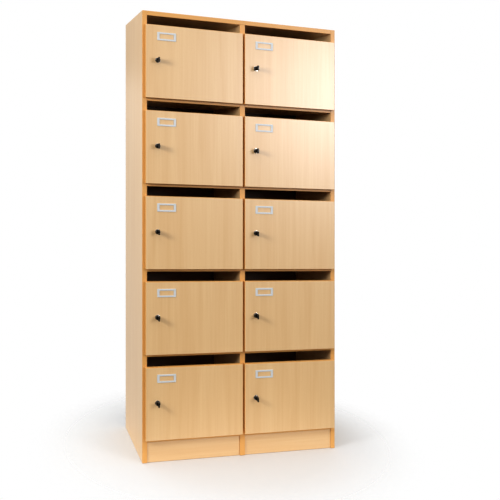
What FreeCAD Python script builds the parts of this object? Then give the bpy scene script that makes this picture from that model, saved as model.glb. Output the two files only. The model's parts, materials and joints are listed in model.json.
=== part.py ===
import FreeCAD, Part
import math
import os

# Free-standing locker cabinet: two columns of five compartments, each with a door,
# an open letter slot above the door, a label frame and a keyed cam lock.
# Origin: on the floor, at the middle of the carcass's width and depth.
# +X runs to the right along the front, +Y to the back, +Z up.
# The shapes below are drawn from the left outer side and the front edges of the
# carcass boards, and save() moves each one to the origin.

os.makedirs("parts", exist_ok=True)
V = FreeCAD.Vector

# carcass
cabinet_height = 1800.0
cabinet_width = 834.0
cabinet_depth = 410.0       # carcass boards only, without the doors
rows = 5
side_thickness = 19.0
partition_thickness = 22.0
shelf_thickness = 18.0      # top, shelves and bottoms
plinth_height = 82.0
plinth_thickness = 18.0
plinth_setback = 5.0
back_thickness = 8.0
rebate_width = 10.0         # how far the back panel reaches into sides and top
rebate_clearance = 0.3

# doors
door_thickness = 18.0
door_standoff = 2.0         # air between the door and the carcass edges
slot_height = 38.0          # open letter slot above each door
bottom_reveal = 11.5        # shelf edge left visible under each door
side_reveal = 9.8           # side panel edge left visible beside each door
middle_gap = 8.4            # between the two columns of doors

# label frame, on the door's face
label_width = 76.0
label_height = 32.5
label_thickness = 2.0
label_side_border = 9.6
label_top_border = 6.9
label_corner = 1.5
label_inset = 46.0          # from the door's free edge
label_drop = 28.0           # from the door's top edge
card_ledge = 2.5            # width of the ledge that a card slides behind
card_depth = 0.8

# lock
lock_inset = 48.0           # axis, from the door's free edge
lock_drop = 140.5           # axis, from the door's top edge
barrel_radius = 9.0
barrel_bore_clearance = 0.2
rim_radius = 10.5
rim_thickness = 1.5
barrel_tail = 7.0           # barrel length behind the door
nut_radius = 12.0           # across corners
nut_thickness = 4.0
plug_radius = 6.0
plug_clearance = 0.05
plug_proud = 0.4            # plug face beyond the barrel's rim
cam_wall_clearance = 3.8    # from the turned cam's tip to the nearest board
cam_overlap = 8.2           # turned cam behind its strike
cam_width = 14.0
cam_thickness = 2.0
cam_clearance = 0.3         # between the barrel's end and the cam
cam_screw_radius = 4.0
cam_screw_thickness = 2.5

# key, left in the lock
key_collar_radius = 8.5
key_collar_length = 11.5
key_bow_thickness = 5.0
key_bow_length = 18.0
key_neck_height = 15.0
key_bow_height = 21.0
key_hole_radius = 2.6
key_shank_height = 7.0
key_shank_thickness = 2.2
key_shank_depth = 14.0      # how far the shank goes into the plug
key_slot_clearance = 0.1
key_shank_gap = 1.2         # bare shank between the plug and the collar

# strike angle that holds the turned cam
strike_height = 26.0
strike_thickness = 2.0
strike_leg_thickness = 1.5
strike_leg_length = 20.0
strike_clearance = 0.8      # between the strike and the cam

# concealed hinge, two to a door
hinge_inset = 62.0          # hinge centre, from the door's top and bottom edges
cup_radius = 17.5
cup_clearance = 0.15
cup_edge_distance = 5.0     # wood left between the cup and the door's hinge edge
cup_depth = 12.0
cup_wall = 0.9
flange_width = 19.0
flange_height = 64.0
flange_thickness = 0.8
arm_pivot = (30.0, 10.1)    # pivot on the arm: in from the door's edge, out from the carcass
cup_pivot = (14.0, 4.7)     # pivot in the cup, the same way
hinge_pin_radius = 1.25
hinge_pin_clearance = 0.05
hinge_eye_radius = 2.6
link_thickness = 2.4
link_height = 12.0
arm_cheek = 2.0
arm_side_clearance = 0.4    # between link and arm cheeks
arm_throat = (19.0, 11.0)   # where the cranked arm turns to run along the wall
arm_bar = 5.0
arm_length = 60.0           # from the carcass front
plate_start = 30.0
wing_thickness = 2.0
wing_depth = 16.0
wing_height = 52.0
wing_hole_radius = 2.2
wing_hole_spacing = 32.0

# worked out from the sizes above
column_width = (cabinet_width - 2 * side_thickness - partition_thickness) / 2
partition_left = side_thickness + column_width
partition_right = partition_left + partition_thickness
row_pitch = (cabinet_height - shelf_thickness - plinth_height) / rows
door_width = (cabinet_width - 2 * side_reveal - middle_gap) / 2
door_height = row_pitch - slot_height - bottom_reveal
door_back = -door_standoff
door_face = door_back - door_thickness
inner_depth = cabinet_depth - back_thickness
columns = {
    "left": {
        "board_from": side_thickness,
        "board_to": partition_left,
        "door_from": side_reveal,
    },
    "right": {
        "board_from": partition_right,
        "board_to": cabinet_width - side_thickness,
        "door_from": side_reveal + door_width + middle_gap,
    },
}
lock_to_board = min(c["door_from"] + lock_inset - c["board_from"] for c in columns.values())
cam_reach = lock_to_board - cam_wall_clearance


def box(x0, x1, y0, y1, z0, z1):
    return Part.makeBox(x1 - x0, y1 - y0, z1 - z0, V(x0, y0, z0))


def rodAlongY(radius, x, z, y0, y1):
    return Part.makeCylinder(radius, y1 - y0, V(x, y0, z), V(0, 1, 0))


def rodAlongZ(radius, x, y, z0, z1):
    return Part.makeCylinder(radius, z1 - z0, V(x, y, z0))


def prism(points, rise):
    wire = Part.makePolygon(points + [points[0]])
    return Part.Face(wire).extrude(rise)


def barBetween(start, end, thickness, z0, z1):
    """Flat bar in the XY plane between two points, with square ends."""
    dx, dy = end[0] - start[0], end[1] - start[1]
    length = math.hypot(dx, dy)
    sx, sy = -dy / length * thickness / 2, dx / length * thickness / 2
    corners = [
        V(start[0] + sx, start[1] + sy, z0),
        V(end[0] + sx, end[1] + sy, z0),
        V(end[0] - sx, end[1] - sy, z0),
        V(start[0] - sx, start[1] - sy, z0),
    ]
    return prism(corners, V(0, 0, z1 - z0))


def save(name, solids):
    shape = solids if isinstance(solids, Part.Shape) else Part.makeCompound(solids)
    shape = shape.translated(V(-cabinet_width / 2, -cabinet_depth / 2, 0))
    shape.exportStep("parts/" + name + ".step")
    print(name, len(shape.Solids), "solids")


def shelfUnderside(row):
    """Underside of the board above a row, where row 1 is the top one."""
    return cabinet_height - shelf_thickness - (row - 1) * row_pitch


# carcass boards

def backSeat():
    """Space that the back panel takes, with its clearance."""
    seat_from = side_thickness - rebate_width - rebate_clearance
    seat_to = cabinet_width - seat_from
    seat_top = cabinet_height - shelf_thickness + rebate_width + rebate_clearance
    return box(seat_from, seat_to, inner_depth, cabinet_depth + 1, plinth_height, seat_top)


def sidePanel(x0):
    board = box(x0, x0 + side_thickness, 0, cabinet_depth, 0, cabinet_height)
    return board.cut(backSeat())


def topPanel():
    x1 = cabinet_width - side_thickness
    z0 = cabinet_height - shelf_thickness
    board = box(side_thickness, x1, 0, cabinet_depth, z0, cabinet_height)
    return board.cut(backSeat())


def boardAcross(column, z0):
    x0, x1 = column["board_from"], column["board_to"]
    return box(x0, x1, 0, inner_depth, z0, z0 + shelf_thickness)


def plinthBoard(column):
    x0, x1 = column["board_from"], column["board_to"]
    y0 = plinth_setback
    return box(x0, x1, y0, y0 + plinth_thickness, 0, plinth_height)


def backPanel():
    x0 = side_thickness - rebate_width
    z1 = cabinet_height - shelf_thickness + rebate_width
    return box(x0, cabinet_width - x0, inner_depth, cabinet_depth, plinth_height, z1)


# door and what is fixed to it

def hingeHeights(door_bottom):
    return [door_bottom + hinge_inset, door_bottom + door_height - hinge_inset]


def cupCentre(hinge_edge):
    return hinge_edge - cup_edge_distance - cup_radius


def doorPanel(door_from, door_bottom):
    hinge_edge = door_from + door_width
    door_top = door_bottom + door_height
    panel = box(door_from, hinge_edge, door_face, door_back, door_bottom, door_top)
    lock_x, lock_z = door_from + lock_inset, door_top - lock_drop
    bore_radius = barrel_radius + barrel_bore_clearance
    panel = panel.cut(rodAlongY(bore_radius, lock_x, lock_z, door_face - 1, door_back + 1))
    for z in hingeHeights(door_bottom):
        x = cupCentre(hinge_edge)
        bore_from = door_back - cup_depth - cup_clearance
        panel = panel.cut(rodAlongY(cup_radius, x, z, bore_from, door_back + 1))
    return panel


def labelFrame(door_from, door_bottom):
    x0 = door_from + label_inset
    z1 = door_bottom + door_height - label_drop
    x1, z0 = x0 + label_width, z1 - label_height
    y0 = door_face - label_thickness
    plate = box(x0, x1, y0, door_face, z0, z1)
    corners = [e for e in plate.Edges if abs(e.BoundBox.YLength - label_thickness) < 0.01]
    plate = plate.makeFillet(label_corner, corners)
    wx0, wx1 = x0 + label_side_border, x1 - label_side_border
    wz0, wz1 = z0 + label_top_border, z1 - label_top_border
    window = box(wx0, wx1, y0 - 1, door_face + 1, wz0, wz1)
    ledge = card_ledge
    card = box(wx0 - ledge, wx1 + ledge, door_face - card_depth, door_face + 1, wz0 - ledge, wz1 + ledge)
    return plate.cut(window).cut(card)


def lockBarrel(x, z):
    barrel = rodAlongY(barrel_radius, x, z, door_face, door_back + barrel_tail)
    rim = rodAlongY(rim_radius, x, z, door_face - rim_thickness, door_face)
    bore = plug_radius + plug_clearance
    body = barrel.fuse(rim)
    y0, y1 = door_face - rim_thickness, door_back + barrel_tail
    return body.cut(rodAlongY(bore, x, z, y0 - 1, y1 + 1))


def lockNut(x, z):
    corners = []
    for i in range(6):
        angle = math.radians(60 * i)
        corners.append(V(x + nut_radius * math.cos(angle), door_back, z + nut_radius * math.sin(angle)))
    nut = prism(corners, V(0, nut_thickness, 0))
    return nut.cut(rodAlongY(barrel_radius, x, z, door_back - 1, door_back + nut_thickness + 1))


def hingeCup(hinge_edge, z):
    """Cup sunk in the door, its screw flange, and the pin that carries the link."""
    x = cupCentre(hinge_edge)
    outer = cup_radius - cup_clearance
    inner = outer - cup_wall
    y0 = door_back - cup_depth
    y1 = door_back + flange_thickness
    cup = rodAlongY(outer, x, z, y0, y1)
    flange = box(x - flange_width, x, door_back, y1, z - flange_height / 2, z + flange_height / 2)
    cup = cup.fuse(flange).cut(rodAlongY(inner, x, z, y0 + cup_wall, y1 + 1))
    pin_x, pin_y = hinge_edge - cup_pivot[0], -cup_pivot[1]
    half_chord = math.sqrt(inner ** 2 - (pin_x - x) ** 2) + cup_wall / 2
    return cup.fuse(rodAlongZ(hinge_pin_radius, pin_x, pin_y, z - half_chord, z + half_chord))


def doorFittings(door_from, door_bottom):
    x, z = door_from + lock_inset, door_bottom + door_height - lock_drop
    hinge_edge = door_from + door_width
    cups = [hingeCup(hinge_edge, height) for height in hingeHeights(door_bottom)]
    return [lockBarrel(x, z), lockNut(x, z)] + cups


# turning part of the lock

def lockAndKey(x, z):
    plug_from = door_face - rim_thickness - plug_proud
    plug_to = door_back + barrel_tail + cam_clearance
    plug = rodAlongY(plug_radius, x, z, plug_from, plug_to)
    slot_w = key_shank_thickness / 2 + key_slot_clearance
    slot_h = key_shank_height / 2 + key_slot_clearance
    slot_to = plug_from + key_shank_depth + key_slot_clearance
    plug = plug.cut(box(x - slot_w, x + slot_w, plug_from - 1, slot_to, z - slot_h, z + slot_h))

    cam_to = plug_to + cam_thickness
    tip = cam_reach - cam_width / 2
    cam = box(x - cam_width / 2, x + cam_width / 2, plug_to, cam_to, z, z + tip)
    cam = cam.fuse(rodAlongY(cam_width / 2, x, z + tip, plug_to, cam_to))
    cam = cam.fuse(rodAlongY(cam_width / 2, x, z, plug_to, cam_to))
    screw = rodAlongY(cam_screw_radius, x, z, cam_to, cam_to + cam_screw_thickness)

    half = key_shank_thickness / 2
    shank_from = plug_from - key_shank_gap
    shank_to = plug_from + key_shank_depth
    z0, z1 = z - key_shank_height / 2, z + key_shank_height / 2
    shank = box(x - half, x + half, shank_from, shank_to, z0, z1)
    collar_from = shank_from - key_collar_length
    collar = rodAlongY(key_collar_radius, x, z, collar_from, shank_from)
    bow_from = collar_from - key_bow_length
    bow_x = x - key_bow_thickness / 2
    outline = [
        V(bow_x, collar_from, z - key_neck_height / 2),
        V(bow_x, bow_from, z - key_bow_height / 2),
        V(bow_x, bow_from, z + key_bow_height / 2),
        V(bow_x, collar_from, z + key_neck_height / 2),
    ]
    bow = prism(outline, V(key_bow_thickness, 0, 0))
    outer_edges = [e for e in bow.Edges if e.BoundBox.YMax < bow_from + 0.1 and e.BoundBox.ZLength < 0.1]
    bow = bow.makeFillet(key_bow_height / 6, outer_edges)
    ring_y = bow_from + key_bow_length / 3
    ring = Part.makeCylinder(key_hole_radius, key_bow_thickness + 2, V(bow_x - 1, ring_y, z), V(1, 0, 0))
    key = shank.fuse(collar).fuse(bow.cut(ring))
    return [plug, cam, screw, key]


# hinge pieces on the carcass side

def hingeLink(hinge_edge, z):
    arm_end = (hinge_edge - arm_pivot[0], -arm_pivot[1])
    cup_end = (hinge_edge - cup_pivot[0], -cup_pivot[1])
    z0, z1 = z - link_height / 2, z + link_height / 2
    link = barBetween(arm_end, cup_end, link_thickness, z0, z1)
    for end in (arm_end, cup_end):
        link = link.fuse(rodAlongZ(hinge_eye_radius, end[0], end[1], z0, z1))
    hole = hinge_pin_radius + hinge_pin_clearance
    for end in (arm_end, cup_end):
        link = link.cut(rodAlongZ(hole, end[0], end[1], z0 - 1, z1 + 1))
    return link


def hingeArm(hinge_edge, wall, z):
    """Cranked arm with its pin, and the plate that screws it to the wall at x = wall."""
    pin_x, pin_y = hinge_edge - arm_pivot[0], -arm_pivot[1]
    throat = (hinge_edge - arm_throat[0], arm_throat[1])
    inside = link_height / 2 + arm_side_clearance
    outside = inside + arm_cheek
    knee = (pin_x, 2.0)
    arm = rodAlongZ(hinge_pin_radius, pin_x, pin_y, z - outside, z + outside)
    for z0 in (z - outside, z + inside):
        z1 = z0 + arm_cheek
        arm = arm.fuse(rodAlongZ(hinge_eye_radius, pin_x, pin_y, z0, z1))
        arm = arm.fuse(barBetween((pin_x, pin_y), knee, link_thickness, z0, z1))
        arm = arm.fuse(rodAlongZ(link_thickness / 2, knee[0], knee[1], z0, z1))
        arm = arm.fuse(barBetween(knee, throat, link_thickness, z0, z1))
    bar_from, bar_to = throat[0] - arm_bar / 2, throat[0] + arm_bar / 2
    arm = arm.fuse(box(bar_from, bar_to, throat[1], arm_length, z - outside, z + outside))
    arm = arm.fuse(box(bar_to, wall, plate_start, arm_length + 2, z - outside, z + outside))
    wing_from = plate_start + 4.0
    z0, z1 = z - wing_height / 2, z + wing_height / 2
    wing = box(wall - wing_thickness, wall, wing_from, wing_from + wing_depth, z0, z1)
    for dz in (-wing_hole_spacing / 2, wing_hole_spacing / 2):
        hole_y = wing_from + wing_depth / 2
        hole = Part.makeCylinder(wing_hole_radius, 6, V(wall - 4, hole_y, z + dz), V(1, 0, 0))
        wing = wing.cut(hole)
    return arm.fuse(wing)


def strike(wall, lock_x, z):
    """Angle on the wall at x = wall, in front of where the turned cam lies."""
    reach = lock_x - cam_reach + cam_overlap
    cam_front = door_back + barrel_tail + cam_clearance
    y1 = cam_front - strike_clearance
    y0 = y1 - strike_thickness
    z0, z1 = z - strike_height / 2, z + strike_height / 2
    plate = box(wall, reach, y0, y1, z0, z1)
    leg = box(wall, wall + strike_leg_thickness, y0, y0 + strike_leg_length, z0, z1)
    return plate.fuse(leg)


# build every node

shelves = []
bottoms = []
plinths = []
arms = []
strikes = []
for column in columns.values():
    plinths.append(plinthBoard(column))
    bottoms.append(boardAcross(column, plinth_height))
    for row in range(2, rows + 1):
        shelves.append(boardAcross(column, shelfUnderside(row)))

save("side_panel_left", sidePanel(0))
save("side_panel_right", sidePanel(cabinet_width - side_thickness))
partition_top = cabinet_height - shelf_thickness
save("centre_partition", box(partition_left, partition_right, 0, inner_depth, 0, partition_top))
save("top_panel", topPanel())
save("shelves", shelves)
save("bottom_boards", bottoms)
save("plinth_boards", plinths)
save("back_panel", backPanel())

for side, column in columns.items():
    door_from = column["door_from"]
    hinge_edge = door_from + door_width
    for row in range(1, rows + 1):
        door_top = shelfUnderside(row) - slot_height
        door_bottom = door_top - door_height
        lock_x, lock_z = door_from + lock_inset, door_top - lock_drop
        name = "_" + side + "_" + str(row)
        heights = hingeHeights(door_bottom)
        save("door" + name, doorPanel(door_from, door_bottom))
        save("label_frame" + name, labelFrame(door_from, door_bottom))
        save("door_fittings" + name, doorFittings(door_from, door_bottom))
        save("lock_and_key" + name, lockAndKey(lock_x, lock_z))
        save("hinge_links" + name, [hingeLink(hinge_edge, z) for z in heights])
        arms += [hingeArm(hinge_edge, column["board_to"], z) for z in heights]
        strikes.append(strike(column["board_from"], lock_x, lock_z))

save("hinge_arms", arms)
save("lock_strikes", strikes)
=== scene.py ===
import json
import math
import random

import bmesh
import bpy
from mathutils import Matrix, Vector


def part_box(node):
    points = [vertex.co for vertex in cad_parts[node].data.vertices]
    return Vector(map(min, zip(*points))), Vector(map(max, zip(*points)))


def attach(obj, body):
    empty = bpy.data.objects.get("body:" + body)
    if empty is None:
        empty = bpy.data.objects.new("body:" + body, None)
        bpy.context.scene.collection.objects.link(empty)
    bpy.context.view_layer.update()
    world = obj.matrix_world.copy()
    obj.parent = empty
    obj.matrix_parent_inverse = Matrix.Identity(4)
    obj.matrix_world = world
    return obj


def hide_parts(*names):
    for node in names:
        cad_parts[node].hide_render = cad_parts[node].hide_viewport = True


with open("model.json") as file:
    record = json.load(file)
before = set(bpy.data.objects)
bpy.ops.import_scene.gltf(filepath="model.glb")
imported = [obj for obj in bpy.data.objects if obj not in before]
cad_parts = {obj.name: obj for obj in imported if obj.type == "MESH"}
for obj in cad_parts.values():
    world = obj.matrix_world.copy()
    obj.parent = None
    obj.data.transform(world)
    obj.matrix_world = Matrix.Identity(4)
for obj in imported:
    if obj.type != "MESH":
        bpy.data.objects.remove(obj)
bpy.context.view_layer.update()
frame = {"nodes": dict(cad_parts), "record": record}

bodyOfNode = {n: b for b, ns in frame["record"]["behaviour"]["bodies"].items() for n in ns}
cells = [(side, row) for side in ("left", "right") for row in range(1, 6)]
mm = 0.001
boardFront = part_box("side_panel_left")[0].y     # front edges of the carcass boards
print("frame loaded:", len(frame["nodes"]), "nodes")


class Wire:
    # one output socket, for sums such as 1 - mask
    def __init__(self, sheet, socket):
        self.sheet, self.socket = sheet, socket

    def sum(self, operation, *others):
        return self.sheet.add("ShaderNodeMath", {"operation": operation}, [self, *others])

    def __add__(self, other): return self.sum("ADD", other)
    def __radd__(self, other): return self.sheet.number("ADD", other, self)
    def __sub__(self, other): return self.sum("SUBTRACT", other)
    def __rsub__(self, other): return self.sheet.number("SUBTRACT", other, self)
    def __mul__(self, other): return self.sum("MULTIPLY", other)
    def __rmul__(self, other): return self.sheet.number("MULTIPLY", other, self)


class Sheet:
    # one material's node tree
    def __init__(self, name):
        self.material = bpy.data.materials.new(name)
        self.material.use_nodes = True
        self.tree = self.material.node_tree
        self.shader = self.tree.nodes["Principled BSDF"]

    def plug(self, socket, value):
        if isinstance(value, Wire):
            self.tree.links.new(value.socket, socket)
        elif socket.type == "RGBA" and len(value) == 3:
            socket.default_value = (*value, 1)
        else:
            socket.default_value = value

    def add(self, kind, settings=None, inputs=(), output=0):
        node = self.tree.nodes.new(kind)
        for key, value in (settings or {}).items():
            setattr(node, key, value)
        pairs = inputs.items() if isinstance(inputs, dict) else enumerate(inputs)
        for key, value in pairs:
            self.plug(node.inputs[key], value)
        return Wire(self, node.outputs[output])

    def number(self, operation, first, second):
        return self.add("ShaderNodeMath", {"operation": operation}, [first, second])

    def grain(self):
        # x across the grain, y along it, in metres, from the piece's own UV map
        return self.add("ShaderNodeTexCoord", output="UV")

    def place(self):
        return self.add("ShaderNodeTexCoord", output="Object")

    def stretched(self, vector, scale):
        return self.add("ShaderNodeVectorMath", {"operation": "MULTIPLY"}, [vector, scale])

    def noise(self, vector, scale=1.0, detail=2.0, roughness=0.5, warp=0.0):
        inputs = {"Vector": vector, "Scale": scale, "Detail": detail}
        inputs.update({"Roughness": roughness, "Distortion": warp})
        return self.add("ShaderNodeTexNoise", None, inputs)

    def smooth(self, value, low, high, outLow=0.0, outHigh=1.0):
        settings = {"interpolation_type": "SMOOTHSTEP"}
        return self.add("ShaderNodeMapRange", settings, [value, low, high, outLow, outHigh])

    def mixColour(self, factor, first, second, blend="MIX"):
        settings = {"data_type": "RGBA", "blend_type": blend}
        return self.add("ShaderNodeMix", settings, {0: factor, 6: first, 7: second}, output=2)

    def bump(self, height, strength, distance, normal=None):
        inputs = {"Strength": strength, "Distance": distance, "Height": height}
        if normal is not None:
            inputs["Normal"] = normal
        return self.add("ShaderNodeBump", None, inputs)

    def finish(self, **values):
        for key, value in values.items():
            self.plug(self.shader.inputs[key.replace("_", " ")], value)
        return self.material


beechLook = {
    "base": (0.772, 0.512, 0.253),
    "pale": (1.050, 1.085, 1.130),      # tints of the base
    "deep": (0.950, 0.900, 0.830),
    "fleck": (0.900, 0.840, 0.760),
    "bandWidth": 0.045,                 # metres across the grain
    "streakWidth": 0.010,
    "fleckLength": 0.009,
    "roughness": 0.38,
    "ior": 1.6,
    "lacquer": 0.5,
    "lacquerRoughness": 0.38,
}


def tinted(colour, tint):
    return tuple(c * t for c, t in zip(colour, tint))


def beechFace(name):
    # printed beech laminate: broad bands, streaks and short flecks along the grain
    s = Sheet(name)
    look = beechLook
    uv = s.grain()
    wide, narrow = 1 / look["bandWidth"], 1 / look["streakWidth"]
    short = 1 / look["fleckLength"]
    bands = s.noise(s.stretched(uv, (wide, wide * 0.05, 1)), detail=3.0, warp=0.4)
    streaks = s.noise(s.stretched(uv, (narrow, narrow * 0.02, 1)), detail=4.0, roughness=0.7,
                      warp=0.6)
    threads = s.noise(s.stretched(uv, (narrow * 4, narrow * 0.06, 1)), detail=1.0)
    flecks = s.noise(s.stretched(uv, (short * 9, short, 1)), detail=1.0)
    fleckMask = s.smooth(flecks, 0.62, 0.74)
    cloud = s.noise(s.stretched(uv, (3.0, 1.2, 1)), detail=2.0)
    mix = (s.smooth(bands, 0.32, 0.68) * 0.46 + s.smooth(streaks, 0.32, 0.70) * 0.38
           + threads * 0.10 + cloud * 0.16)
    base = look["base"]
    colour = s.mixColour(mix, tinted(base, look["pale"]), tinted(base, look["deep"]))
    colour = s.mixColour(fleckMask * 0.55, colour, tinted(base, look["fleck"]))
    roughness = look["roughness"] + threads * 0.03 + fleckMask * 0.04
    pores = s.bump(threads * 0.4 - fleckMask, 0.20, 0.00006)
    wave = s.noise(s.stretched(s.place(), (5, 5, 5)), detail=1.0)
    normal = s.bump(wave, 0.08, 0.0010, pores)
    return s.finish(Base_Color=colour, Roughness=roughness, Normal=normal, IOR=look["ior"],
                    Coat_Weight=look["lacquer"], Coat_Roughness=look["lacquerRoughness"])


def beechBand(name):
    # plastic edge band, a little more orange than the faces
    s = Sheet(name)
    uv = s.grain()
    streaks = s.noise(s.stretched(uv, (600.0, 9.0, 1)), detail=2.0)
    tint = s.noise(s.stretched(uv, (40.0, 3.0, 1)), detail=2.0)
    colour = s.mixColour(streaks * 0.5 + tint * 0.4, (0.800, 0.425, 0.125), (0.700, 0.345, 0.085))
    scuff = s.noise(s.stretched(s.place(), (60, 60, 60)), detail=3.0)
    roughness = 0.40 + scuff * 0.15
    normal = s.bump(streaks, 0.15, 0.00006)
    return s.finish(Base_Color=colour, Roughness=roughness, Normal=normal)


def chipboardEdge(name):
    # raw back edges, where no band is glued on
    s = Sheet(name)
    where = s.place()
    chips = s.add("ShaderNodeTexVoronoi", {"feature": "F1"}, {"Vector": where, "Scale": 620.0},
                  output="Color")
    value = s.add("ShaderNodeSeparateColor", None, [chips])
    grit = s.noise(where, 300.0, detail=4.0)
    colour = s.mixColour(value, (0.52, 0.38, 0.22), (0.30, 0.19, 0.10))
    colour = s.mixColour(s.smooth(grit, 0.45, 0.75) * 0.4, colour, (0.66, 0.52, 0.34))
    normal = s.bump(value + grit, 0.6, 0.0004)
    return s.finish(Base_Color=colour, Roughness=0.85 + grit * 0.1, Normal=normal)


def hardboard(name):
    # brown pressed fibre board
    s = Sheet(name)
    uv = s.grain()
    felt = s.noise(s.stretched(uv, (900, 900, 1)), detail=3.0)
    cloud = s.noise(s.stretched(uv, (14, 9, 1)), detail=3.0)
    tint = s.smooth(felt, 0.3, 0.7) * 0.5 + cloud * 0.5
    colour = s.mixColour(tint, (0.150, 0.080, 0.040), (0.085, 0.042, 0.020))
    normal = s.bump(felt, 0.25, 0.00008)
    return s.finish(Base_Color=colour, Roughness=0.55 + felt * 0.15, Normal=normal)


def metal(name, pale, dark, rough, brushed, spots):
    # plated metal with fine lines and faint staining
    s = Sheet(name)
    where = s.place()
    lines = s.noise(s.stretched(where, tuple(900 * b for b in brushed)), detail=2.0)
    stain = s.noise(where, 55.0, detail=3.0)
    colour = s.mixColour(s.smooth(stain, 0.35, 0.75), pale, dark)
    roughness = rough + lines * 0.12 + s.smooth(stain, 0.4, 0.8) * spots
    normal = s.bump(lines, 0.12, 0.00004)
    return s.finish(Base_Color=colour, Metallic=1.0, Roughness=roughness, Normal=normal)


def plastic(name, base, worn, rough):
    # moulded plastic with a fine grained surface, worn a little
    s = Sheet(name)
    where = s.place()
    leather = s.noise(where, 1400.0, detail=2.0)
    wear = s.noise(where, 90.0, detail=3.0)
    colour = s.mixColour(s.smooth(wear, 0.5, 0.8) * 0.5, base, worn)
    roughness = rough + s.smooth(wear, 0.35, 0.75) * 0.15 + leather * 0.06
    return s.finish(Base_Color=colour, Roughness=roughness, Specular_IOR_Level=0.35,
                    Normal=s.bump(leather, 0.25, 0.00006))


def satinPaint(name):
    # aluminium lacquer on a pressed frame
    s = Sheet(name)
    where = s.place()
    flake = s.noise(where, 2600.0, detail=1.0)
    cloud = s.noise(where, 70.0, detail=3.0)
    colour = s.mixColour(s.smooth(flake, 0.35, 0.7), (0.680, 0.705, 0.722), (0.560, 0.585, 0.600))
    roughness = 0.52 + flake * 0.08 + s.smooth(cloud, 0.4, 0.8) * 0.08
    normal = s.bump(flake, 0.2, 0.00005)
    return s.finish(Base_Color=colour, Metallic=0.12, Roughness=roughness, Normal=normal)


def clearBuffer(name):
    # cloudy clear rubber
    s = Sheet(name)
    cloud = s.noise(s.place(), 400.0, detail=2.0)
    colour = s.mixColour(cloud, (0.80, 0.80, 0.77), (0.66, 0.66, 0.62))
    return s.finish(Base_Color=colour, Roughness=0.30 + cloud * 0.1, Transmission_Weight=0.25)


def paleFloor(name, clear, gone):
    # fades into the white studio away from the object
    s = Sheet(name)
    s.material.surface_render_method = "BLENDED"
    where = s.place()
    cloud = s.noise(where, 1.5, detail=3.0)
    colour = s.mixColour(cloud, (0.68, 0.68, 0.68), (0.65, 0.65, 0.65))
    away = s.add("ShaderNodeVectorMath", {"operation": "LENGTH"}, [where], output=1)
    fade = s.smooth(away, clear, gone, 1.0, 0.0)
    return s.finish(Base_Color=colour, Roughness=0.8 + cloud * 0.1, Alpha=fade)


looks = {
    "face": beechFace("beech laminate"),
    "back": hardboard("brown hardboard"),
    "band": beechBand("beech edge band"),
    "raw": chipboardEdge("raw chipboard edge"),
    "frame": satinPaint("satin silver label frame"),
    "nickel": metal("nickel plated lock", (0.66, 0.64, 0.60), (0.50, 0.48, 0.44), 0.18,
                    (3, 3, 3), 0.10),
    "steel": metal("zinc plated hinge steel", (0.60, 0.61, 0.62), (0.46, 0.47, 0.47), 0.30,
                   (1, 5, 5), 0.18),
    "black": plastic("black key plastic", (0.003, 0.003, 0.003), (0.007, 0.007, 0.007), 0.24),
    "buffer": clearBuffer("clear door buffer"),
}
print("materials made:", len(looks))


def newPiece(name, mesh, body, slot, *nodes):
    piece = bpy.data.objects.new(name, mesh)
    bpy.context.scene.collection.objects.link(piece)
    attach(piece, body)
    if nodes:
        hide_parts(*nodes)
    return piece


def finished(mesh, cutters=None, smoothAngle=35):
    # takes the cutters' solids out, then keeps flat faces flat beside their rounded edges
    body = bpy.data.objects.new("body", mesh)
    spare = [body]
    bpy.context.scene.collection.objects.link(body)
    if cutters:
        tool = bpy.data.objects.new("tool", cutters)
        bpy.context.scene.collection.objects.link(tool)
        spare.append(tool)
        cut = body.modifiers.new("cut", "BOOLEAN")
        cut.operation, cut.object, cut.solver = "DIFFERENCE", tool, "EXACT"
        graph = bpy.context.evaluated_depsgraph_get()
        body.data = bpy.data.meshes.new_from_object(body.evaluated_get(graph), depsgraph=graph)
        body.modifiers.clear()
    body.data.shade_smooth()
    body.data.set_sharp_from_angle(angle=math.radians(smoothAngle))
    weigh = body.modifiers.new("weigh", "WEIGHTED_NORMAL")
    weigh.keep_sharp, weigh.weight = True, 100
    graph = bpy.context.evaluated_depsgraph_get()
    graph.update()
    result = bpy.data.meshes.new_from_object(body.evaluated_get(graph),
                                             preserve_all_data_layers=True, depsgraph=graph)
    for o in spare:
        bpy.data.objects.remove(o)
    return result


def meshFrom(bm, name, materials, cutters=None, smoothAngle=35):
    bmesh.ops.recalc_face_normals(bm, faces=bm.faces)
    mesh = bpy.data.meshes.new(name)
    bm.to_mesh(mesh)
    bm.free()
    for material in materials:
        mesh.materials.append(material)
    return finished(mesh, cutters, smoothAngle)


def solidBoxes(node):
    # lowest and highest corner of each separate solid in a CAD node
    bm = bmesh.new()
    bm.from_mesh(frame["nodes"][node].data)
    bmesh.ops.remove_doubles(bm, verts=bm.verts, dist=1e-6)
    left, found = set(bm.verts), []
    while left:
        todo, island = [left.pop()], []
        while todo:
            vert = todo.pop()
            island.append(vert.co.copy())
            for edge in vert.link_edges:
                other = edge.other_vert(vert)
                if other in left:
                    left.discard(other)
                    todo.append(other)
        low = Vector(min(c[i] for c in island) for i in range(3))
        high = Vector(max(c[i] for c in island) for i in range(3))
        found.append((low, high))
    bm.free()
    return sorted(found, key=lambda pair: (round(pair[0].x, 3), -round(pair[1].z, 3)))


boardLook = {"edge": 1.2 * mm, "sheetEdge": 0.6 * mm}


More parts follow.
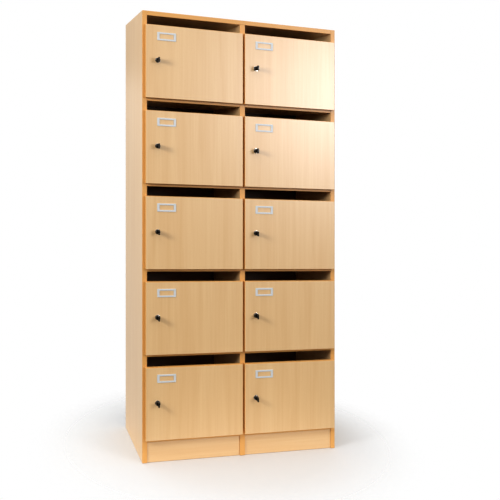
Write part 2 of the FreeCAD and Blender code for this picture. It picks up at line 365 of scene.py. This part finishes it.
def boardMesh(name, low, high, along, raw=(), radius=boardLook["edge"], face="face", cutters=None):
    # a faced board: rounded edges, banded or raw narrow sides, grain along one axis
    size = high - low
    thin = min(range(3), key=lambda i: size[i])
    bm = bmesh.new()
    bmesh.ops.create_cube(bm, size=1.0)
    for vert in bm.verts:
        vert.co = Vector(low[i] + (vert.co[i] + 0.5) * size[i] for i in range(3))
    bmesh.ops.bevel(bm, geom=bm.edges[:], offset=radius, segments=2, profile=0.5, affect="EDGES")
    paint = bm.loops.layers.uv.new("grain")
    seed = random.Random(name)
    shift = Vector((seed.uniform(0, 50), seed.uniform(0, 50)))
    for f in bm.faces:
        normal = f.normal
        axis = max(range(3), key=lambda i: abs(normal[i]))
        key = "xyz"[axis] + ("+" if normal[axis] > 0 else "-")
        flat = abs(normal[axis]) >= 0.999
        if axis == thin:
            f.material_index = 0 if flat else 1
        else:
            f.material_index = 2 if key in raw else 1
        other = [i for i in range(3) if i != along and i != axis]
        across = other[0] if other else (axis + 1) % 3
        for loop in f.loops:
            co = loop.vert.co
            run = co[along] if axis != along else co[(axis + 2) % 3]
            loop[paint].uv = Vector((co[across], run)) + shift
    edge = "back" if face == "back" else "band"
    return meshFrom(bm, name, [looks[face], looks[edge], looks["raw"]], cutters, 50)


def lathe(bm, profile, centre, axis=(0, -1, 0), sides=40, material=0):
    # spins (radius, height) points about an axis through centre; height runs along the axis
    up = Vector(axis).normalized()
    side = up.orthogonal().normalized()
    front = up.cross(side)
    rings = []
    for radius, height in profile:
        middle = Vector(centre) + up * height
        if radius < 1e-7:
            rings.append([bm.verts.new(middle)])
            continue
        ring = []
        for i in range(sides):
            angle = 2 * math.pi * i / sides
            outward = side * math.cos(angle) + front * math.sin(angle)
            ring.append(bm.verts.new(middle + outward * radius))
        rings.append(ring)
    for first, second in zip(rings, rings[1:]):
        for i in range(sides):
            j = (i + 1) % sides
            loop = [first[i % len(first)], first[j % len(first)],
                    second[j % len(second)], second[i % len(second)]]
            corners = list(dict.fromkeys(loop))
            if len(corners) > 2:
                bm.faces.new(corners).material_index = material


def slab(bm, outline, start, depth, bevel, segments=2):
    # closed outline of points, pushed along depth, with rounded rims
    bottom = [bm.verts.new(Vector(start) + Vector(p)) for p in outline]
    top = [bm.verts.new(v.co + Vector(depth)) for v in bottom]
    ends = [bm.faces.new(bottom), bm.faces.new(top[::-1])]
    for i in range(len(bottom)):
        j = (i + 1) % len(bottom)
        bm.faces.new([bottom[j], bottom[i], top[i], top[j]])
    rims = {e for f in ends for e in f.edges}
    bmesh.ops.bevel(bm, geom=list(rims), offset=bevel, segments=segments, profile=0.5,
                    affect="EDGES")


def addBox(bm, low, high, bevel):
    low, high = Vector(low), Vector(high)
    size = high - low
    outline = [(0, 0, 0), (size.x, 0, 0), (size.x, size.y, 0), (0, size.y, 0)]
    slab(bm, outline, low, (0, 0, size.z), bevel, 1)


carcass = bodyOfNode["side_panel_left"]
for side in ("left", "right"):
    node = "side_panel_" + side
    low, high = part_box(node)
    mesh = boardMesh(node + "_board", low, high, 2, raw=("y+", "z-"))
    newPiece(node + "_board", mesh, carcass, "board", node)

low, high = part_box("centre_partition")
mesh = boardMesh("centre_partition_board", low, high, 2, raw=("y+", "z-", "z+"))
newPiece("centre_partition_board", mesh, carcass, "board", "centre_partition")

low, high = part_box("top_panel")
mesh = boardMesh("top_board", low, high, 0, raw=("y+",))
newPiece("top_board", mesh, carcass, "board", "top_panel")

for node, word, raw in (("shelves", "shelf", ("y+",)), ("bottom_boards", "bottom", ("y+",)),
                        ("plinth_boards", "plinth", ("z-",))):
    for i, (low, high) in enumerate(solidBoxes(node)):
        name = word + "_board_" + str(i + 1)
        newPiece(name, boardMesh(name, low, high, 0, raw=raw), carcass, "board", node)

low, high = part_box("back_panel")
mesh = boardMesh("back_sheet", low, high, 2, radius=boardLook["sheetEdge"], face="back")
newPiece("back_sheet", mesh, carcass, "back_board", "back_panel")
print("carcass boards made")


doorLook = {
    "edge": 1.3 * mm,
    "cupRadius": 17.5 * mm,
    "cupDepth": 12.15 * mm,
    "cupSides": 48,
    "lockRadius": 9.2 * mm,
    "lockSides": 32,
    "through": 2.0 * mm,        # how far the cutters stand out of the board
}


def doorBores(low, high, fittings):
    # cutters for the two hinge cups and the lock, placed from the fittings' own boxes
    look = doorLook
    out, radius, depth = look["through"], look["cupRadius"], look["cupDepth"]
    bm = bmesh.new()
    for spot in cupPlaces(fittings):
        profile = [(0, -out), (radius, -out), (radius, depth), (0, depth)]
        lathe(bm, profile, (spot.x, high.y, spot.z), sides=look["cupSides"])
    centre = lockPlace(fittings)
    radius, reach = look["lockRadius"], high.y - low.y + 2 * out
    profile = [(0, 0), (radius, 0), (radius, reach), (0, reach)]
    lathe(bm, profile, (centre.x, high.y + out, centre.z), sides=look["lockSides"])
    bmesh.ops.recalc_face_normals(bm, faces=bm.faces)
    mesh = bpy.data.meshes.new("bores")
    bm.to_mesh(mesh)
    bm.free()
    return mesh


def cupPlaces(fittings):
    # the two cups are the only solids over 30 mm wide; their round part is at the right
    found = []
    for low, high in solidBoxes(fittings):
        if high.x - low.x > 30 * mm:
            found.append(Vector((high.x - cupLook["radius"], 0, (low.z + high.z) / 2)))
    return found


def lockPlace(fittings):
    # the barrel is the only solid over 20 mm deep
    return next((low + high) / 2 for low, high in solidBoxes(fittings) if high.y - low.y > 20 * mm)


cupLook = {
    "radius": 17.35 * mm,
    "wall": 0.9 * mm,
    "height": 12.8 * mm,
    "proud": 0.8 * mm,          # lip above the door's back
    "lip": 1.0 * mm,
    "earSpread": 24.8 * mm,
    "earLength": 14.0 * mm,
    "earHalfHeight": 7.2 * mm,
    "earCorner": 3.0 * mm,
    "screwAt": 9.0 * mm,
    "pinFromEdge": 14.0 * mm,
    "pinDepth": 2.7 * mm,
    "pinRadius": 1.25 * mm,
}

for side, row in cells:
    tag = "_" + side + "_" + str(row)
    node = "door" + tag
    low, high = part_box(node)
    bores = doorBores(low, high, "door_fittings" + tag)
    mesh = boardMesh("door_board" + tag, low, high, 2, radius=doorLook["edge"], cutters=bores)
    newPiece("door_board" + tag, mesh, bodyOfNode[node], "door_board", node)
print("doors made")


def ringStack(bm, rings, material=0):
    # joins rings of points one after another, the last back to the first
    loops = [[bm.verts.new(point) for point in ring] for ring in rings]
    count = len(loops[0])
    for first, second in zip(loops, loops[1:] + loops[:1]):
        for i in range(count):
            j = (i + 1) % count
            bm.faces.new([first[i], first[j], second[j], second[i]]).material_index = material


def roundedRect(x0, x1, z0, z1, radius, steps=5):
    points = []
    for cx, cz, start in ((x1 - radius, z1 - radius, 0), (x0 + radius, z1 - radius, 90),
                          (x0 + radius, z0 + radius, 180), (x1 - radius, z0 + radius, 270)):
        for i in range(steps + 1):
            angle = math.radians(start + 90 * i / steps)
            points.append((cx + radius * math.cos(angle), 0, cz + radius * math.sin(angle)))
    return points


labelLook = {
    "sideBorder": 9.6 * mm,
    "topBorder": 6.9 * mm,
    "cornerOuter": 1.5 * mm,
    "cornerInner": 0.8 * mm,
    "lip": 0.3 * mm,
    "cardAt": 1.2 * mm,     # depth of the groove that a card slides into
    "ledge": 2.5 * mm,
}


def labelFrameMesh(name, low, high):
    look = labelLook
    bm = bmesh.new()
    inX, inZ, lip = look["sideBorder"], look["topBorder"], look["lip"]

    def ring(grow, depth, inside=False):
        x, z, corner = grow, grow, look["cornerOuter"]
        if inside:
            x, z, corner = grow - inX, grow - inZ, look["cornerInner"]
        points = roundedRect(low.x - x, high.x + x, low.z - z, high.z + z, corner)
        return [(px, low.y + depth, pz) for px, _, pz in points]

    deep = high.y - low.y
    ledge = look["ledge"]
    ringStack(bm, [
        ring(0, deep), ring(0, lip * 2), ring(-lip * 0.3, lip * 0.7), ring(-lip, 0),
        ring(lip * 2, 0, True), ring(lip * 1.3, lip * 0.5, True), ring(lip, lip * 2, True),
        ring(lip, look["cardAt"], True), ring(ledge, look["cardAt"], True), ring(ledge, deep, True),
    ])
    return meshFrom(bm, name, [looks["frame"]])


for side, row in cells:
    tag = "_" + side + "_" + str(row)
    node = "label_frame" + tag
    low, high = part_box(node)
    mesh = labelFrameMesh("label_holder" + tag, low, high)
    newPiece("label_holder" + tag, mesh, bodyOfNode[node], "label_frame", node)
print("label frames made")


def screwHead(bm, centre, axis, radius=3.4 * mm, height=0.9 * mm):
    # low pan head
    profile = [(0, 0), (radius, 0), (radius, height * 0.35), (radius * 0.82, height * 0.85),
               (radius * 0.5, height), (0, height)]
    lathe(bm, profile, centre, axis, 20)


barrelLook = {
    "radius": 9.0 * mm,
    "bore": 6.05 * mm,
    "length": 26.5 * mm,
    "tail": 7.0 * mm,           # behind the door
    "rimRadius": 10.5 * mm,
    "rimThickness": 1.5 * mm,
    "threadLength": 13.0 * mm,
    "threadDepth": 0.45 * mm,
    "threadSlope": 0.6 * mm,
    "turns": 11,
    "nutRadius": 12.0 * mm,
    "nutThickness": 4.0 * mm,
    "nutEdge": 0.5 * mm,
}


def addBarrel(bm, x, back, z):
    look = barrelLook
    r, bore, length, rim = look["radius"], look["bore"], look["length"], look["rimRadius"]
    under = length - look["rimThickness"]
    profile = [(bore, 0), (bore, length), (rim - 0.9 * mm, length),
               (rim - 0.3 * mm, length - 0.2 * mm), (rim, length - 0.8 * mm), (rim, under), (r, under)]
    for i in range(look["turns"]):
        height = look["threadLength"] - look["threadLength"] * i / look["turns"]
        profile += [(r, height), (r - look["threadDepth"], height - look["threadSlope"])]
    profile += [(r, 0), (bore, 0)]
    lathe(bm, profile, (x, back + look["tail"], z))
    hexagon = []
    for i in range(6):
        angle = math.radians(60 * i)
        hexagon.append((math.cos(angle) * look["nutRadius"], 0, math.sin(angle) * look["nutRadius"]))
    slab(bm, hexagon, (x, back, z), (0, look["nutThickness"], 0), look["nutEdge"])


def addCup(bm, x, back, z, pinX):
    look = cupLook
    outer, height, proud, lip = look["radius"], look["height"], look["proud"], look["lip"]
    inner = outer - look["wall"]
    floorAt = height - look["wall"]
    profile = [(0, height), (outer - lip, height), (outer, height - lip), (outer, proud),
               (outer + lip, 0.7 * mm), (outer + lip, 0.1 * mm), (outer, 0), (inner, 0.2 * mm),
               (inner, floorAt - 0.9 * mm), (inner - 0.8 * mm, floorAt), (0, floorAt)]
    lathe(bm, profile, (x, back + proud, z))
    for up in (-1, 1):
        earZ, half = z + up * look["earSpread"], look["earHalfHeight"]
        ear = roundedRect(-look["earLength"], 0, -half, half, look["earCorner"])
        slab(bm, ear, (x - 1.5 * mm, back, earZ), (0, proud, 0), 0.2 * mm, 1)
        screwHead(bm, (x - look["screwAt"], back + proud, earZ), (0, 1, 0))
    chord = math.sqrt(inner ** 2 - (pinX - x) ** 2)     # the pin reaches from wall to wall
    radius = look["pinRadius"]
    lathe(bm, [(0, 0), (radius, 0), (radius, 2 * chord), (0, 2 * chord)],
          (pinX, back - look["pinDepth"], z - chord), (0, 0, 1), 16)


def fittingsMesh(name, node, doorHigh):
    bm = bmesh.new()
    lock = lockPlace(node)
    addBarrel(bm, lock.x, doorHigh.y, lock.z)
    for spot in cupPlaces(node):
        addCup(bm, spot.x, doorHigh.y, spot.z, doorHigh.x - cupLook["pinFromEdge"])
    return meshFrom(bm, name, [looks["nickel"]])


for side, row in cells:
    tag = "_" + side + "_" + str(row)
    node = "door_fittings" + tag
    low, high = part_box("door" + tag)
    mesh = fittingsMesh("lock_barrel_and_cups" + tag, node, high)
    newPiece("lock_barrel_and_cups" + tag, mesh, bodyOfNode[node], "nickel", node)
print("door fittings made")


lockLook = {
    "plugRadius": 6.0 * mm,
    "plugLength": 27.2 * mm,
    "dishRadius": 3.9 * mm,
    "dishDepth": 0.4 * mm,
    "camWidth": 14.0 * mm,
    "camThickness": 2.0 * mm,
    "camEdge": 0.25 * mm,
    "screwRadius": 4.0 * mm,
    "screwThickness": 2.5 * mm,
    "recessDepth": 1.0 * mm,
}

keyLook = {
    "shankThickness": 2.2 * mm,
    "shankHeight": 7.0 * mm,
    "shankInPlug": 1.0 * mm,
    "bareShank": 1.2 * mm,
    "collarRadius": 8.5 * mm,
    "collarLength": 11.5 * mm,
    "grooveAt": 6.0 * mm,       # from the collar's lock side
    "bowInCollar": 0.8 * mm,
    "bowThickness": 5.0 * mm,
    "neckHeight": 15.0 * mm,
    "bowHeight": 21.0 * mm,
    "rimWidth": 2.2 * mm,
    "rimRise": 0.7 * mm,        # rim above the sunk middle
    "slope": 0.5 * mm,
    "holeRadius": 2.6 * mm,
}


def keyBow(bm, x, near, far, z, material):
    # flat plastic head: narrow neck, wide rounded end, thicker rim and a ring hole
    look = keyLook
    half = look["bowThickness"] / 2
    neck, wide = look["neckHeight"] / 2, look["bowHeight"] / 2
    corner = wide * 0.34
    outline = [(near, -neck)]
    for sign, first in ((-1, 270), (1, 180)):
        for i in range(7):
            angle = math.radians(first - 15 * i)
            outline.append((far + corner + corner * math.cos(angle),
                            sign * (wide - corner) + corner * math.sin(angle)))
    outline.append((near, neck))
    middle = Vector((far + (near - far) / 3, 0))
    edge = [Vector(p) for p in outline]

    def towards(amount):
        return [p + (middle - p).normalized() * amount for p in edge]

    def around(radius):
        return [middle + (p - middle).normalized() * radius for p in edge]

    hole, rim, slope = look["holeRadius"], look["rimWidth"], look["slope"]
    sunk = half - look["rimRise"]
    upper = [(sunk, edge), (half - 0.2 * mm, towards(0.25 * mm)), (half, towards(0.8 * mm)),
             (half, towards(rim)), (sunk, towards(rim + slope)), (sunk, around(hole + slope)),
             (sunk - 0.4 * mm, around(hole))]
    layers = upper + [(-depth, ring) for depth, ring in reversed(upper)]
    ringStack(bm, [[(x + depth, p.x, z + p.y) for p in ring] for depth, ring in layers], material)


def addPlug(bm, x, y, z):
    # its face is dished round the key
    look = lockLook
    r, hollow = look["plugRadius"], look["dishRadius"]
    length, dish = look["plugLength"], look["dishDepth"]
    bottom = length - dish
    lathe(bm, [(0, 0), (r, 0), (r, bottom), (r - dish, length), (hollow, length),
               (hollow - 0.3 * mm, bottom), (0, bottom)], (x, y, z), sides=36)


def addCam(bm, x, y, z, top):
    look = lockLook
    half = look["camWidth"] / 2
    outline = []
    for centre, start in ((top - z - half, 180), (0, 0)):
        for i in range(13):
            angle = math.radians(start - 15 * i)
            outline.append((half * math.cos(angle), 0, centre + half * math.sin(angle)))
    slab(bm, outline, (x, y, z), (0, look["camThickness"], 0), look["camEdge"], 1)
    r, height = look["screwRadius"], look["screwThickness"]
    recess = height - look["recessDepth"]
    lathe(bm, [(0, 0), (r, 0), (r, 1.4 * mm), (r - 0.8 * mm, height - 0.2 * mm), (r / 2, height),
               (r / 2 - 0.4 * mm, recess), (0, recess)],
          (x, y + look["camThickness"], z), (0, 1, 0), 24)


def addKey(bm, x, plugFace, z, tip, material):
    # steel shank, then the plastic collar and head
    look = keyLook
    thick, tall = look["shankThickness"] / 2, look["shankHeight"] / 2
    collarFrom = plugFace - look["bareShank"]
    addBox(bm, (x - thick, collarFrom - 0.2 * mm, z - tall),
           (x + thick, plugFace + look["shankInPlug"], z + tall), 0.2 * mm)
    r, long, groove = look["collarRadius"], look["collarLength"], look["grooveAt"]
    profile = [(0, 0), (r - 0.8 * mm, 0), (r, 0.8 * mm), (r, groove - 0.5 * mm),
               (r - 0.5 * mm, groove), (r - 0.5 * mm, groove + 0.6 * mm),
               (r - 0.1 * mm, groove + 1.1 * mm), (r - 0.1 * mm, long - 1.6 * mm),
               (r - 0.6 * mm, long - 0.5 * mm), (r - 1.8 * mm, long), (0, long)]
    lathe(bm, profile, (x, collarFrom, z), sides=36, material=material)
    keyBow(bm, x, collarFrom - long + look["bowInCollar"], tip, z, material)


def lockMesh(name, low, high, lockX, lockZ):
    look = lockLook
    bm = bmesh.new()
    camFrom = high.y - look["screwThickness"] - look["camThickness"]
    addPlug(bm, lockX, camFrom, lockZ)
    addCam(bm, lockX, camFrom, lockZ, high.z)
    addKey(bm, lockX, camFrom - look["plugLength"], lockZ, low.y, 1)
    return meshFrom(bm, name, [looks["nickel"], looks["black"]])


for side, row in cells:
    tag = "_" + side + "_" + str(row)
    node = "lock_and_key" + tag
    low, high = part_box(node)
    lock = lockPlace("door_fittings" + tag)
    mesh = lockMesh("plug_cam_and_key" + tag, low, high, lock.x, lock.z)
    newPiece("plug_cam_and_key" + tag, mesh, bodyOfNode[node], "lock_turning", node)
print("locks and keys made")


for node in frame["nodes"]:
    if node.startswith("hinge_links") or node in ("hinge_arms", "lock_strikes"):
        part = frame["nodes"][node]
        part.data.materials.clear()
        part.data.materials.append(looks["steel"])

screwLook = {
    "armPlate": 2.0 * mm,       # thickness under the head
    "armBack": 42.0 * mm,       # behind the boards' front edges
    "armSpread": 16.0 * mm,
    "strikePlate": 1.5 * mm,
    "strikeBack": 12.0 * mm,
    "strikeSpread": 7.0 * mm,
    "sheetInset": 5.0 * mm,
    "sheetMargin": 60.0 * mm,
    "sheetRows": 8,
    "sheetSunk": 0.3 * mm,
    "sheetHead": (3.2 * mm, 0.5 * mm),
}

bm = bmesh.new()
for low, high in solidBoxes("hinge_arms"):
    x, z = high.x - screwLook["armPlate"], (low.z + high.z) / 2
    for up in (-1, 1):
        place = (x, boardFront + screwLook["armBack"], z + up * screwLook["armSpread"])
        screwHead(bm, place, (-1, 0, 0))
for low, high in solidBoxes("lock_strikes"):
    x, z = low.x + screwLook["strikePlate"], (low.z + high.z) / 2
    for up in (-1, 1):
        place = (x, low.y + screwLook["strikeBack"], z + up * screwLook["strikeSpread"])
        screwHead(bm, place, (1, 0, 0))
mesh = meshFrom(bm, "hinge_and_strike_screws", [looks["steel"]])
newPiece("hinge_and_strike_screws", mesh, carcass, "hinge_steel")

bufferLook = {
    "radius": 3.6 * mm,
    "height": 1.8 * mm,
    "fromSide": 4.6 * mm,       # from the door's lock side
    "fromEnd": 22.0 * mm,
}

bm = bmesh.new()
r, tall = bufferLook["radius"], bufferLook["height"]
dome = [(0, 0), (r - 0.2 * mm, 0), (r, 0.6 * mm), (r - 0.6 * mm, tall - 0.4 * mm),
        (r - 2.0 * mm, tall - 0.05 * mm), (0, tall)]
for side, row in cells:
    low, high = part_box("door_" + side + "_" + str(row))
    for z in (low.z + bufferLook["fromEnd"], high.z - bufferLook["fromEnd"]):
        lathe(bm, dome, (low.x + bufferLook["fromSide"], boardFront, z), sides=20)
newPiece("door_buffers", meshFrom(bm, "door_buffers", [looks["buffer"]]), carcass, "board")

bm = bmesh.new()
low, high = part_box("back_panel")
inset, margin, rows = screwLook["sheetInset"], screwLook["sheetMargin"], screwLook["sheetRows"]
for i in range(rows):
    z = low.z + margin + (high.z - low.z - 2 * margin) * i / (rows - 1)
    for x in (low.x + inset, high.x - inset, (low.x + high.x) / 2):
        screwHead(bm, (x, high.y - screwLook["sheetSunk"], z), (0, 1, 0), *screwLook["sheetHead"])
mesh = meshFrom(bm, "back_sheet_screws", [looks["steel"]])
newPiece("back_sheet_screws", mesh, carcass, "hinge_steel")
print("fixings made")


floorLook = {
    "size": 1.6,            # half its side, in metres
    "clear": 0.44,          # where it starts to fade
    "gone": 0.86,
    "under": 0.5 * mm,      # kept just below the plinth
}

bm = bmesh.new()
bmesh.ops.create_grid(bm, x_segments=2, y_segments=2, size=floorLook["size"])
pale = paleFloor("pale floor", floorLook["clear"], floorLook["gone"])
floor = bpy.data.objects.new("floor", meshFrom(bm, "floor", [pale]))
bpy.context.scene.collection.objects.link(floor)
floor.location = (0, 0, -floorLook["under"])


lightLook = {
    "keyLight": {"place": (-2.737, -1.545, 1.92), "target": (0, -0.2, 1.0), "size": (0.8, 0.8),
                 "power": 54},
    "fillLight": {"place": (1.86, -3.2, 1.76), "target": (0, -0.2, 1.0), "size": (0.9, 0.9),
                  "power": 38},
    "sheenLight": {"place": (1.95, -3.2, 1.80), "target": (0, -0.2, 1.0), "size": (1.0, 1.0),
                   "power": 60, "colour": (0.96, 0.94, 1.0)},
    "sideLight": {"place": (-1.6, 2.8, 0.35), "target": (-0.3, 0, 0.5), "size": (2.4, 3.0),
                  "power": 18},
}
skyLook = {
    "sun": 0.85,
    "sunSpread": 70,        # degrees
    "sunLean": (14, -8),
    "above": 0.83,
    "below": 0.02,
    "horizon": (-0.02, 0.20),
}


def softBox(name, place, target, size, power, colour=(1, 1, 1)):
    light = bpy.data.lights.new(name, "AREA")
    light.shape, light.size, light.size_y = "RECTANGLE", size[0], size[1]
    light.energy, light.color = power, colour
    lamp = bpy.data.objects.new(name, light)
    bpy.context.scene.collection.objects.link(lamp)
    lamp.location = place
    lamp.rotation_euler = (Vector(target) - Vector(place)).to_track_quat("-Z", "Y").to_euler()
    return lamp


lamps = {name: softBox(name, **look) for name, look in lightLook.items()}
lamps["sheenLight"].visible_diffuse = False     # a bright panel that only shiny faces mirror
lamps["sideLight"].visible_camera = False
overhead = bpy.data.lights.new("overhead", "SUN")
overhead.energy, overhead.angle = skyLook["sun"], math.radians(skyLook["sunSpread"])
ceiling = bpy.data.objects.new("overhead", overhead)
bpy.context.scene.collection.objects.link(ceiling)
ceiling.rotation_euler = (*(math.radians(lean) for lean in skyLook["sunLean"]), 0)

# the studio round the object is white to look at; it lights from above more than from below
world = bpy.data.worlds.new("studio")
world.use_nodes = True
tree = world.node_tree
room = tree.nodes["Background"]
seen = tree.nodes.new("ShaderNodeBackground")
split = tree.nodes.new("ShaderNodeSeparateXYZ")
rise = tree.nodes.new("ShaderNodeMapRange")
pick = tree.nodes.new("ShaderNodeMixShader")
tree.links.new(tree.nodes.new("ShaderNodeTexCoord").outputs["Generated"], split.inputs[0])
tree.links.new(split.outputs["Z"], rise.inputs["Value"])
rampEnds = (*skyLook["horizon"], skyLook["below"], skyLook["above"])
for socket, value in zip(list(rise.inputs)[1:5], rampEnds):
    socket.default_value = value
tree.links.new(rise.outputs[0], room.inputs["Strength"])
room.inputs["Color"].default_value = seen.inputs["Color"].default_value = (1, 1, 1, 1)
seen.inputs["Strength"].default_value = 1.0
tree.links.new(tree.nodes.new("ShaderNodeLightPath").outputs["Is Camera Ray"], pick.inputs[0])
tree.links.new(room.outputs[0], pick.inputs[1])
tree.links.new(seen.outputs[0], pick.inputs[2])
tree.links.new(pick.outputs[0], tree.nodes["World Output"].inputs["Surface"])
bpy.context.scene.world = world
bpy.context.scene.view_settings.view_transform = "Standard"
bpy.context.scene.view_settings.gamma = 0.85

cameraLook = {
    "place": (-0.968, -3.225, 1.243),
    "turn": 0.3200,         # radians to the right of straight ahead
    "lens": 55.16,
    "shiftY": -0.1890,
    "shear": 0.0478,        # the lens board's sideways tilt, as a rise per unit across
}
cameraData = bpy.data.cameras.new("camera")
cameraData.sensor_width = 36.0
cameraData.lens = cameraLook["lens"]
cameraData.shift_y = cameraLook["shiftY"]
cameraData.clip_start, cameraData.clip_end = 0.05, 100
camera = bpy.data.objects.new("camera", cameraData)
bpy.context.scene.collection.objects.link(camera)
tilt = bpy.data.objects.new("lensBoard", None)
bpy.context.scene.collection.objects.link(tilt)
turned = Matrix.Rotation(-cameraLook["turn"], 4, "Z")
upright = Matrix.Rotation(math.pi / 2, 4, "X")
pose = Matrix.Translation(cameraLook["place"]) @ turned @ upright
lean = Matrix.Identity(4)
lean[1][0] = cameraLook["shear"]
camera.parent = tilt
camera.matrix_parent_inverse = pose @ lean
bpy.context.scene.camera = camera
print("light and camera set")
